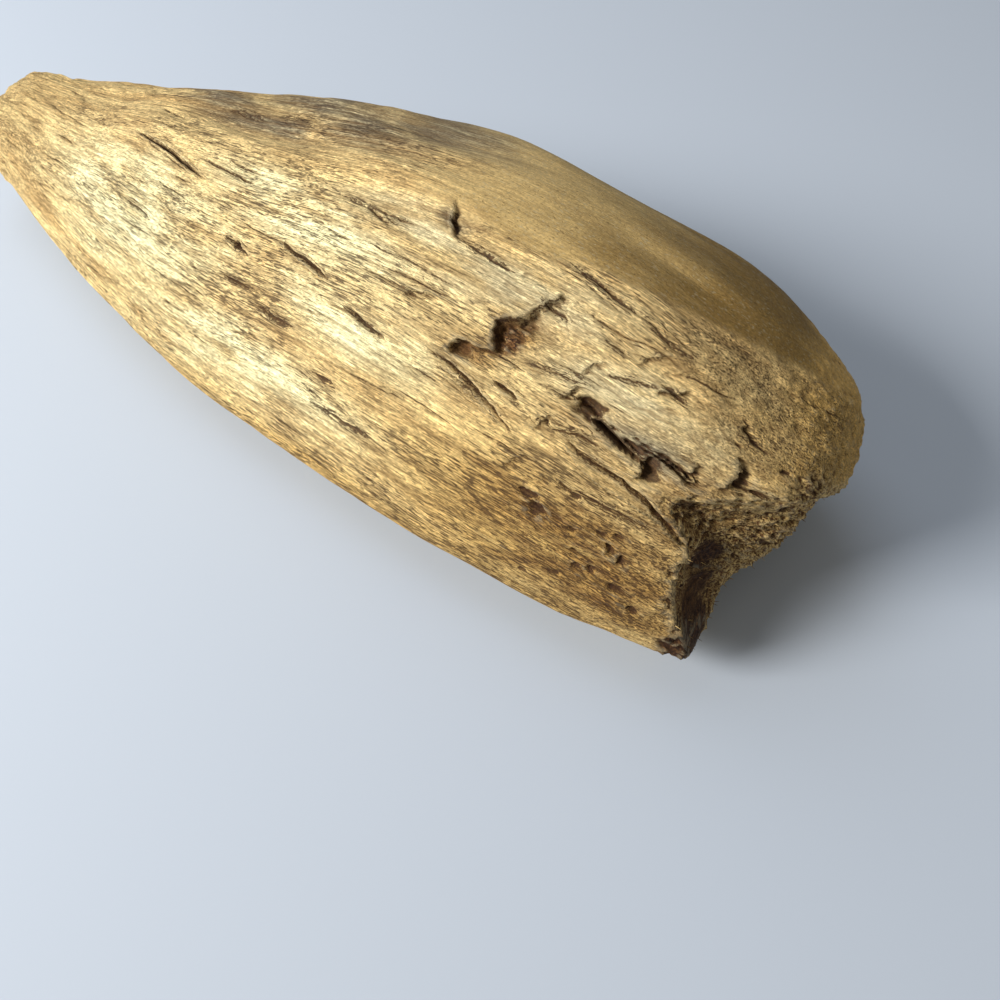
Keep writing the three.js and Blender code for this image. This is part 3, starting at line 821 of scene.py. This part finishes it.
class Paint:
    """Short forms for the nodes that mix the wood's colours."""

    def __init__(self, tree, colours):
        self.tree = tree
        self.colours = colours

    def tone(self, name):
        return rgba(getattr(self.colours, name))

    def zone(self, name):
        return new_node(self.tree, "ShaderNodeAttribute", {"attribute_name": name}).outputs["Fac"]

    def math(self, operation, result, *values):
        """Works two or more values together, from left to right."""
        for value in values:
            node = new_node(self.tree, "ShaderNodeMath", {"operation": operation}, n0=result, n1=value)
            result = node.outputs[0]
        return result

    times = partialmethod(math, "MULTIPLY")
    plus = partialmethod(math, "ADD")
    minus = partialmethod(math, "SUBTRACT")
    most = partialmethod(math, "MAXIMUM")
    least = partialmethod(math, "MINIMUM")

    def mix(self, share, a, b, blend="MIX"):
        settings = {"data_type": "RGBA", "blend_type": blend}
        return new_node(self.tree, "ShaderNodeMix", settings, n0=share, n6=a, n7=b).outputs[2]

    def between(self, value, low, high):
        """Rises smoothly from 0 at low to 1 at high. High may be the smaller of the two."""
        settings = {"interpolation_type": "SMOOTHSTEP"}
        inputs = {"Value": value, "From_Min": low, "From_Max": high}
        return new_node(self.tree, "ShaderNodeMapRange", settings, **inputs).outputs[0]

    def shift(self, value, amount):
        """A factor round 1 that a noise lowers and raises by up to the given share."""
        inputs = {"Value": value, "From_Min": 0.3, "From_Max": 0.7}
        inputs.update(To_Min=1 - amount, To_Max=1 + amount)
        return new_node(self.tree, "ShaderNodeMapRange", {"clamp": False}, **inputs).outputs[0]

    def grainy(self, place, size, detail=3.0, roughness=0.55, distortion=0.0):
        """Noise whose lumps have the given size, in millimetres, along and across the grain."""
        scale = tuple(1 / s for s in size)
        moved = new_node(self.tree, "ShaderNodeMapping", Vector=place, Scale=scale).outputs[0]
        inputs = {"Scale": 1.0, "Detail": detail, "Roughness": roughness, "Distortion": distortion}
        return new_node(self.tree, "ShaderNodeTexNoise", Vector=moved, **inputs).outputs["Fac"]


def empty_material(name):
    material = bpy.data.materials.new(name)
    material.use_nodes = True
    material.node_tree.nodes.clear()
    return material


def matt_skin(tree, **inputs):
    skin = new_node(tree, "ShaderNodeBsdfPrincipled", **inputs)
    new_node(tree, "ShaderNodeOutputMaterial", Surface=skin.outputs[0])


# In the next four functions, p is the Paint and n holds the noises of GRAINS by name.
def plain_colour(p, n):
    """Colour of the wood by what has become of it, with painted shade on the back-facing sides and the
    broken end's wall, and darker toward the broken end partly as painted shade.
    """
    warm = p.between(p.plus(p.times(n.bands, 0.5), p.times(n.mottle, 0.5)), 0.42, 0.66)
    colour = p.mix(warm, p.tone("tan"), p.tone("tan_dark"))
    for kind, dark in (("ochre", "ochre_dark"), ("cream", "tan"), ("bleached", "tan")):
        colour = p.mix(p.zone(kind), colour, p.mix(warm, p.tone(kind), p.tone(dark)))
    # Face and shoulder darker toward the broken end: partly the wood's colour, partly painted shade.
    aged_and_shaded = p.zone("aged_and_shaded")
    colour = p.mix(p.times(aged_and_shaded, p.zone("checked")), colour, p.mix(0.35, colour, p.tone("aged_and_shaded")))
    turned = p.least(p.plus(aged_and_shaded, p.times(warm, 0.3)), 1.0)
    shoulder = p.mix(turned, p.tone("shoulder"), p.tone("shoulder_dark"))
    colour = p.mix(p.zone("shoulder"), colour, shoulder)
    rotten = p.zone("rotten")
    colour = p.mix(p.times(rotten, p.between(n.mottle, 0.32, 0.62)), colour, p.tone("rotten"))
    colour = p.mix(p.times(rotten, p.between(n.blotches, 0.5, 0.6), 0.6), colour, p.tone("rot_brown_and_shade"))
    colour = p.mix(p.zone("nose"), colour, p.tone("nose"))
    # Greyed wood, also painted shade on the back slope and the back-facing sides.
    greyed_and_shade = p.mix(p.between(n.fibres, 0.36, 0.6), p.tone("grey_dark"), p.tone("greyed_and_shade"))
    washed = p.times(p.between(n.streaks, 0.54, 0.64), 0.4)
    colour = p.mix(p.zone("greyed_and_shade"), colour, p.mix(washed, greyed_and_shade, p.tone("bleached")))
    ends = p.mix(p.between(n.grit, 0.35, 0.65), p.tone("broken_dark"), p.tone("broken"))
    colour = p.mix(p.zone("broken"), colour, ends)
    # Rot in the broken end, darker toward its end; on the broken wall it is also painted shade.
    crumbs = p.between(p.minus(n.grit, p.times(aged_and_shaded, 0.13)), 0.34, 0.56)
    rot_and_shade = p.mix(crumbs, p.tone("crack"), p.tone("rot_and_shade"))
    paler = p.between(p.minus(n.specks, p.times(aged_and_shaded, 0.06)), 0.56, 0.66)
    return p.mix(p.zone("rot_and_shade"), colour, p.mix(paler, rot_and_shade, p.tone("broken")))


def grained_colour(p, n, colour, plain):
    """The colour streaked along the grain where the wood is plain, and mealy all over."""
    shade = p.times(p.shift(n.fibres, 0.34), p.shift(n.hair, 0.36), p.shift(n.streaks, 0.25))
    shade = p.times(shade, p.shift(n.specks, 0.12))
    colour = p.mix(plain, colour, p.mix(1.0, colour, shade, "MULTIPLY"))
    mealy = p.times(p.shift(n.grit, 0.22), p.shift(n.specks, 0.2))
    colour = p.mix(1.0, colour, mealy, "MULTIPLY")
    streaked = p.times(p.between(n.streaks, 0.56, 0.36), plain, 0.35)
    return p.mix(streaked, colour, p.tone("streak"))


def dark_marks(p, n, worn_smooth):
    """How far each place is a dark fleck: dashes and lines along the grain, pocks and specks."""
    checked = p.zone("checked")
    crowd = p.plus(p.times(checked, 0.09), p.times(n.mottle, 0.4), p.times(p.zone("ochre"), 0.055))
    strength = p.plus(0.12, p.times(checked, 0.65))
    dash = p.times(p.between(p.plus(n.dashes, crowd), 0.865, 0.915), strength)
    line = p.times(p.between(p.plus(n.lines, p.times(n.mottle, 0.35)), 0.78, 0.84), checked, 0.75)
    pocked = p.most(p.zone("rotten"), p.times(p.zone("broken"), 0.8))
    pock = p.times(p.between(n.specks, 0.58, 0.64), pocked, 0.85)
    fleck = p.times(p.between(n.specks, 0.58, 0.7), worn_smooth, 0.45)
    return p.most(dash, pock, line, fleck)


def openings(p, n):
    """How far each place lies in a pit and in a slit, both with torn edges. Both are painted dark inside,
    as shade.
    """
    torn = p.plus(p.times(n.specks, 1.1), p.times(n.grit, 0.7))
    crack, gape, split = p.zone("crack"), p.zone("gape"), p.zone("split")
    pit = p.times(p.between(p.plus(crack, torn), 1.25, 1.5), p.between(crack, 0.02, 0.2))
    inside = p.minus(gape, p.most(split, p.times(split, -1.0)), 1.44)
    slit = p.between(p.plus(inside, torn, n.fibres), -0.08, 0.1)
    return pit, p.times(slit, p.between(gape, 0.0, 0.12))


def wood_material(colours):
    """Bare wood: streaked along the grain, painted darker in cracks and pits as shade, with painted shade
    in sunk places and a painted highlight on raised ones; greyed in patches and on the back, partly as
    painted shade, and browner and darker toward the broken end, partly as painted shade.
    """
    material = empty_material("weathered wood")
    tree = material.node_tree
    p = Paint(tree, colours)
    place = new_node(tree, "ShaderNodeAttribute", {"attribute_name": "grain"}).outputs["Vector"]
    n = SimpleNamespace(**{name: p.grainy(place, *values) for name, values in GRAINS.items()})
    plain = p.minus(1.0, p.most(p.times(p.zone("shoulder"), 0.6), p.times(p.zone("broken"), 0.85)))
    worn_smooth = p.most(p.zone("shoulder"), p.zone("nose"))
    marks = dark_marks(p, n, worn_smooth)
    pit, slit = openings(p, n)

    colour = grained_colour(p, n, plain_colour(p, n), plain)
    glint = p.times(p.between(n.specks, 0.44, 0.32), worn_smooth, 0.22)
    colour = p.mix(glint, colour, p.tone("highlight"))
    colour = p.mix(marks, colour, p.tone("crack"))
    # Painted shade in sunk places and a painted highlight on raised places.
    worn = p.zone("worn")
    colour = p.mix(p.times(p.between(worn, -0.1, -0.8), 0.5), colour, p.tone("rot_brown_and_shade"))
    colour = p.mix(p.times(p.between(worn, 0.15, 0.9), 0.14), colour, p.tone("highlight"))
    # Painted shade inside pits and slits, from near-black to brown.
    deep = p.mix(p.times(p.between(n.grit, 0.42, 0.66), 0.45), p.tone("crack"), p.tone("rot_brown_and_shade"))
    colour = p.mix(p.times(pit, 0.85), colour, deep)
    colour = p.mix(p.times(slit, 0.9), colour, deep)

    crumbling = p.most(p.zone("rotten"), p.zone("broken"), p.zone("nose"))
    crumbs = p.times(p.plus(n.specks, n.grit), p.plus(0.25, crumbling))
    relief = p.times(p.plus(n.fibres, p.times(n.hair, 0.5), crumbs), plain)
    relief = p.minus(relief, p.most(marks, slit, pit))
    bump = new_node(tree, "ShaderNodeBump", Height=relief, Strength=0.8, Distance=BUMP_HEIGHT * MM)
    matt_skin(tree, Base_Color=colour, Roughness=0.82, Normal=bump.outputs[0], Specular_IOR_Level=0.25)
    return material


def splinter_material(name, colours):
    """Loose fibres, each a little paler or darker than the next."""
    material = empty_material(name)
    tree = material.node_tree
    p = Paint(tree, colours)
    place = new_node(tree, "ShaderNodeTexCoord").outputs["Object"]
    scaled = new_node(tree, "ShaderNodeVectorMath", {"operation": "SCALE"}, Vector=place, Scale=1 / MM)
    shade = p.grainy(scaled.outputs[0], (2.5, 1.2, 1.2), 2)
    colour = p.mix(p.between(shade, 0.35, 0.65), p.tone("broken_dark"), p.tone("broken"))
    matt_skin(tree, Base_Color=colour, Roughness=0.85, Specular_IOR_Level=0.2)
    return material


def splinter_tree(material):
    """Geometry Nodes that stand tapered splinters on the frayed wood, leaning along the grain."""
    tree = bpy.data.node_groups.new("Splinters", "GeometryNodeTree")
    face = tree.interface
    face.new_socket("Wood", in_out="INPUT", socket_type="NodeSocketGeometry")
    for name in ("Density", "Length", "Thickness"):
        face.new_socket(name, in_out="INPUT", socket_type="NodeSocketFloat")
    face.new_socket("Seed", in_out="INPUT", socket_type="NodeSocketInt")
    face.new_socket("Splinters", in_out="OUTPUT", socket_type="NodeSocketGeometry")
    given = tree.nodes.new("NodeGroupInput").outputs
    fray = new_node(tree, "GeometryNodeInputNamedAttribute", Name="fray").outputs["Attribute"]
    density = new_node(tree, "ShaderNodeMath", {"operation": "MULTIPLY"}, n0=fray, n1=given["Density"])
    spread = new_node(
        tree, "GeometryNodeDistributePointsOnFaces",
        Mesh=given["Wood"], Density=density.outputs[0], Seed=given["Seed"],
    )
    slim = new_node(tree, "ShaderNodeMath", {"operation": "MULTIPLY"}, n0=given["Thickness"], n1=0.25)
    cone = new_node(
        tree, "GeometryNodeMeshCone", Vertices=4, Side_Segments=1,
        Radius_Top=slim.outputs[0], Radius_Bottom=given["Thickness"], Depth=given["Length"],
    )
    lean = new_node(
        tree, "FunctionNodeRandomValue", {"data_type": "FLOAT_VECTOR"},
        n0=(0.8, -0.6, -0.6), n1=(2.2, 0.6, 0.6), Seed=given["Seed"],
    )
    way = new_node(
        tree, "ShaderNodeVectorMath", {"operation": "ADD"},
        n0=spread.outputs["Normal"], n1=lean.outputs[0],
    )
    turn = new_node(tree, "FunctionNodeAlignRotationToVector", {"axis": "Z"}, Vector=way.outputs[0])
    size = new_node(
        tree, "FunctionNodeRandomValue", {"data_type": "FLOAT_VECTOR"},
        n0=(0.6, 0.6, 0.4), n1=(1.3, 1.3, 1.5), Seed=given["Seed"],
    )
    stand = new_node(
        tree, "GeometryNodeInstanceOnPoints", Points=spread.outputs["Points"],
        Instance=cone.outputs["Mesh"], Rotation=turn.outputs[0], Scale=size.outputs[0],
    )
    real = new_node(tree, "GeometryNodeRealizeInstances", Geometry=stand.outputs[0])
    painted = new_node(tree, "GeometryNodeSetMaterial", Geometry=real.outputs[0], Material=material)
    new_node(tree, "NodeGroupOutput", Splinters=painted.outputs[0])
    return tree


def set_inputs(modifier, values):
    """Sets a Geometry Nodes modifier's inputs, which it knows by their identifiers."""
    for item in modifier.node_group.interface.items_tree:
        if item.item_type == "SOCKET" and item.in_out == "INPUT" and item.name in values:
            modifier[item.identifier] = values[item.name]


def make_splinters(wood, sizes, colours):
    """Grows the splinters on a copy of the wood, and keeps them alone."""
    bare = wood.data.copy()
    obj = add_object("loose_splinters", bare)
    modifier = obj.modifiers.new("Splinters", "NODES")
    modifier.node_group = splinter_tree(splinter_material("splinters", colours))
    set_inputs(modifier, {
        "Density": sizes.splinter_density / MM ** 2,
        "Length": sizes.splinter_length,
        "Thickness": sizes.splinter_thickness,
        "Seed": SEED,
    })
    grown = plain_copy(obj)
    if not grown.polygons:
        raise RuntimeError("no splinters grew on the wood")
    obj.modifiers.clear()
    obj.data = grown
    bpy.data.meshes.remove(bare)
    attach(obj, "root")


def hair_tube(root, way, thickness, random):
    """Points and faces of one thin bent fibre with three sides, closed at both ends."""
    bend = random.uniform(-0.35, 0.35, 3) * np.linalg.norm(way)
    points, faces = [], []
    rings = 6
    for ring in range(rings):
        t = ring / (rings - 1)
        middle = root + way * t + bend * t * (1 - t)
        radius = thickness * (1 - 0.6 * t)
        for side in range(3):
            turn = side * 2 * math.pi / 3
            points.append(middle + radius * (math.cos(turn) * ACROSS + math.sin(turn) * OFF_FACE))
    for ring in range(rings - 1):
        for side in range(3):
            a, b = ring * 3 + side, ring * 3 + (side + 1) % 3
            faces.append((a, b, b + 3, a + 3))
    last = (rings - 1) * 3
    return points, faces + [(2, 1, 0), (last, last + 1, last + 2)]


def make_hairs(sizes, colours):
    """Makes the loose fibres along the front edge as one piece."""
    random = np.random.default_rng(SEED)
    points, faces = [], []
    axes = np.array([(1, 0, 0), ACROSS, OFF_FACE])
    for root, way in HAIRS:
        start = (np.array(root) + (THIN_END_X, 0, 0)) @ axes
        tube, sides = hair_tube(start, np.array(way) @ axes, sizes.hair_thickness, random)
        faces += [tuple(len(points) + n for n in side) for side in sides]
        points += tube
    mesh = mesh_of("loose_fibres", (np.array(points) * MM).tolist(), faces)
    mesh.materials.append(splinter_material("loose fibres", colours))
    obj = add_object("loose_fibres", mesh)
    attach(obj, "root")


def stage_material(name, colour):
    material = bpy.data.materials.new(name)
    material.use_nodes = True
    skin = material.node_tree.nodes["Principled BSDF"]
    skin.inputs["Base Color"].default_value = rgba(colour)
    skin.inputs["Roughness"].default_value = 0.9
    return material


def add_light(name, place, width, power, colour):
    data = bpy.data.lights.new(name, "AREA")
    data.size = width
    data.energy = power
    data.color = colour
    light = add_object(name, data)
    light.location = place
    light.rotation_euler = (Vector(LIT_PLACE) - Vector(place)).to_track_quat("-Z", "Y").to_euler()


def make_stage(studio):
    corners = [(FLOOR_REACH * x, FLOOR_REACH * y, 0) for x, y in ((-1, -1), (1, -1), (1, 1), (-1, 1))]
    floor = add_object("paper_floor", mesh_of("paper_floor", corners, [(0, 1, 2, 3)]))
    floor.data.materials.append(stage_material("pale paper", studio.floor_colour))
    window_place = Vector(LIT_PLACE) + Vector(studio.window_way).normalized() * studio.window_away
    add_light("window", window_place, studio.window_width, studio.window_power, WINDOW_TINT)
    add_light("sky", SKY_PLACE, SKY_WIDTH, studio.sky_power, SKY_TINT)
    world = bpy.data.worlds.new("room")
    world.use_nodes = True
    back = world.node_tree.nodes["Background"]
    back.inputs["Color"].default_value = rgba(studio.room_colour)
    back.inputs["Strength"].default_value = studio.room_light
    bpy.context.scene.world = world
    bpy.context.scene.view_settings.view_transform = "Standard"
    lens = bpy.data.cameras.new("camera")
    lens.lens = studio.lens
    lens.sensor_width = SENSOR_WIDTH
    camera = add_object("camera", lens)
    camera.location = studio.camera_place
    camera.rotation_euler = (math.pi / 2 - studio.camera_pitch, 0, studio.camera_turn)
    bpy.context.scene.camera = camera


def setting(name, description, default, kind=FloatProperty, **more):
    return kind(name=name, description=description, default=default, **more)


def colour_setting(name, description, *on_screen):
    more = {"subtype": "COLOR", "size": 3, "min": 0, "max": 1}
    return setting(name, description, linear(*on_screen), FloatVectorProperty, **more)


class DRIFTWOOD_PG_sizes(bpy.types.PropertyGroup):
    """Sizes of what weather has done to the wood. Lengths of the carving are in millimetres."""
    grain_relief: setting("Grain relief", "Height of the raised grain", 1.0)
    grain_drift: setting("Grain drift", "Sideways run of the grain per mm", 0.05)
    layer_rise: setting("Layer rise", "Thickness of a split layer, mm", 0.42)
    break_relief: setting("Break relief", "Roughness of the broken end, mm", 1.2)
    check_count: setting("Checks", "Number of short checks on the face", 110, IntProperty)
    splinter_steps: setting("Splinter steps", "Number of small broken edges", 90, IntProperty)
    splinter_density: setting("Splinter density", "Splinters per square mm", 0.06)
    splinter_length: setting("Splinter length", "Length of a loose splinter", 0.001, subtype="DISTANCE")
    splinter_thickness: setting("Splinter thickness", "Radius at its root", 0.00014, subtype="DISTANCE")
    hair_thickness: setting("Fibre thickness", "Radius of a loose fibre, mm", 0.13)


class DRIFTWOOD_PG_colours(bpy.types.PropertyGroup):
    """Colours of the wood."""
    cream: colour_setting("Cream", "Palest wood of the face", 241, 232, 184)
    tan: colour_setting("Tan", "Usual wood of the face", 217, 189, 132)
    tan_dark: colour_setting("Tan, darker", "Darker bands of the face", 203, 169, 112)
    ochre: colour_setting("Ochre", "Warm brown wood", 211, 175, 106)
    ochre_dark: colour_setting("Ochre, darker", "Darker bands of the warm wood", 186, 148, 82)
    bleached: colour_setting("Bleached", "Washed-out upper part of the face", 207, 192, 151)
    # Wood near the broken end, darker partly as painted shade.
    aged_and_shaded: colour_setting("Aged", "Wood near the broken end", 150, 122, 76)
    shoulder: colour_setting("Shoulder", "Smooth rounded shoulder", 201, 172, 115)
    # Shoulder darker toward the broken end, partly as painted shade.
    shoulder_dark: colour_setting("Shoulder, darker", "Shoulder near the broken end", 130, 103, 54)
    rotten: colour_setting("Rotten", "Soft brown wood", 164, 125, 66)
    nose: colour_setting("Nose", "Worn tip over the broken end", 202, 164, 96)
    # Sun-greyed wood, also painted as shade on the back slope and the back-facing sides.
    greyed_and_shade: colour_setting("Grey", "Wood greyed by the sun", 134, 121, 94)
    grey_dark: colour_setting("Grey, darker", "Darker grain of the greyed wood", 94, 80, 66)
    broken: colour_setting("Broken", "Fibres of the broken end", 210, 178, 116)
    broken_dark: colour_setting("Broken, darker", "Depths of the broken end", 96, 60, 32)
    # Red-brown rot, also painted as shade on the broken end's wall.
    rot_and_shade: colour_setting("Rust", "Red-brown rot in the broken end", 118, 82, 48)
    streak: colour_setting("Streak", "Darker late wood in the grain", 150, 114, 66)
    # Painted highlight on raised places; also the pale flecks on the shoulder and nose.
    highlight: colour_setting("Highlight", "Raised fibres", 242, 230, 192)
    # Brown of the blotches in rotten wood, also painted as shade in sunk places and inside pits and slits.
    rot_brown_and_shade: colour_setting("Hollow", "Sunk grain", 112, 78, 42)
    # Near-black brown of the dark flecks and rot crumbs, also painted inside cracks, pits and slits as
    # their shade.
    crack: colour_setting("Crack", "Inside of cracks and pits", 50, 28, 18)


class DRIFTWOOD_PG_studio(bpy.types.PropertyGroup):
    """Floor, lights and camera."""
    floor_colour: colour_setting("Floor", "Pale paper under the wood", 191, 200, 214)
    room_colour: colour_setting("Room", "Light from all round", 222, 220, 212)
    room_light: setting("Room light", "Strength of the light from all round", 0.29)
    window_power: setting("Window", "Power of the main light", 17, subtype="POWER")
    window_width: setting("Window width", "Width of the main light", 0.42, subtype="DISTANCE")
    window_away: setting("Window distance", "How far off the main light is", 1.1, subtype="DISTANCE")
    window_way: setting(
        "Window way", "Where the main light comes from", (-0.66, -0.74, 0.6), FloatVectorProperty,
    )
    sky_power: setting("Sky", "Power of the light from behind", 8, subtype="POWER")
    lens: setting("Lens", "Focal length in millimetres", 30)
    camera_place: setting(
        "Camera", "Place of the camera", (0.142, -0.1249, 0.195), FloatVectorProperty,
        subtype="TRANSLATION",
    )
    camera_pitch: setting("Pitch", "How far the camera looks down", math.radians(58), subtype="ANGLE")
    camera_turn: setting("Turn", "Turn of the camera about the upright", math.radians(34), subtype="ANGLE")


class DRIFTWOOD_OT_wood(bpy.types.Operator):
    """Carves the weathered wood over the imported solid"""
    bl_idname = "driftwood.wood"
    bl_label = "Weathered wood"

    def execute(self, context):
        scene = context.scene
        make_driftwood(scene.driftwood_sizes, scene.driftwood_colours)
        return {"FINISHED"}


class DRIFTWOOD_OT_splinters(bpy.types.Operator):
    """Stands loose splinters on the broken end and loose fibres on the front edge"""
    bl_idname = "driftwood.splinters"
    bl_label = "Loose splinters"

    def execute(self, context):
        scene = context.scene
        wood = bpy.data.objects["weathered_" + NODE]
        make_splinters(wood, scene.driftwood_sizes, scene.driftwood_colours)
        make_hairs(scene.driftwood_sizes, scene.driftwood_colours)
        return {"FINISHED"}


class DRIFTWOOD_OT_stage(bpy.types.Operator):
    """Sets the paper floor, the lights and the camera"""
    bl_idname = "driftwood.stage"
    bl_label = "Stage"

    def execute(self, context):
        make_stage(context.scene.driftwood_studio)
        return {"FINISHED"}


OPERATORS = (DRIFTWOOD_OT_wood, DRIFTWOOD_OT_splinters, DRIFTWOOD_OT_stage)
GROUPS = {
    "driftwood_sizes": DRIFTWOOD_PG_sizes,
    "driftwood_colours": DRIFTWOOD_PG_colours,
    "driftwood_studio": DRIFTWOOD_PG_studio,
}


class DRIFTWOOD_PT_panel(bpy.types.Panel):
    """Lists the steps that build the driftwood and their settings"""
    bl_idname = "DRIFTWOOD_PT_panel"
    bl_label = "Driftwood"
    bl_space_type = "VIEW_3D"
    bl_region_type = "UI"
    bl_category = "Driftwood"

    def draw(self, context):
        for operator in OPERATORS:
            self.layout.operator(operator.bl_idname)
        for name in GROUPS:
            group = getattr(context.scene, name)
            column = self.layout.column()
            for key in group.__annotations__:
                column.prop(group, key)


def register():
    for kind in (*GROUPS.values(), *OPERATORS, DRIFTWOOD_PT_panel):
        bpy.utils.register_class(kind)
    for name, kind in GROUPS.items():
        setattr(bpy.types.Scene, name, PointerProperty(type=kind))


def unregister():
    for name in GROUPS:
        delattr(bpy.types.Scene, name)
    for kind in (DRIFTWOOD_PT_panel, *reversed(OPERATORS), *reversed(GROUPS.values())):
        bpy.utils.unregister_class(kind)


def main():
    register()
    bpy.ops.driftwood.wood()
    bpy.ops.driftwood.splinters()
    bpy.ops.driftwood.stage()


if __name__ == "__main__":
    main()
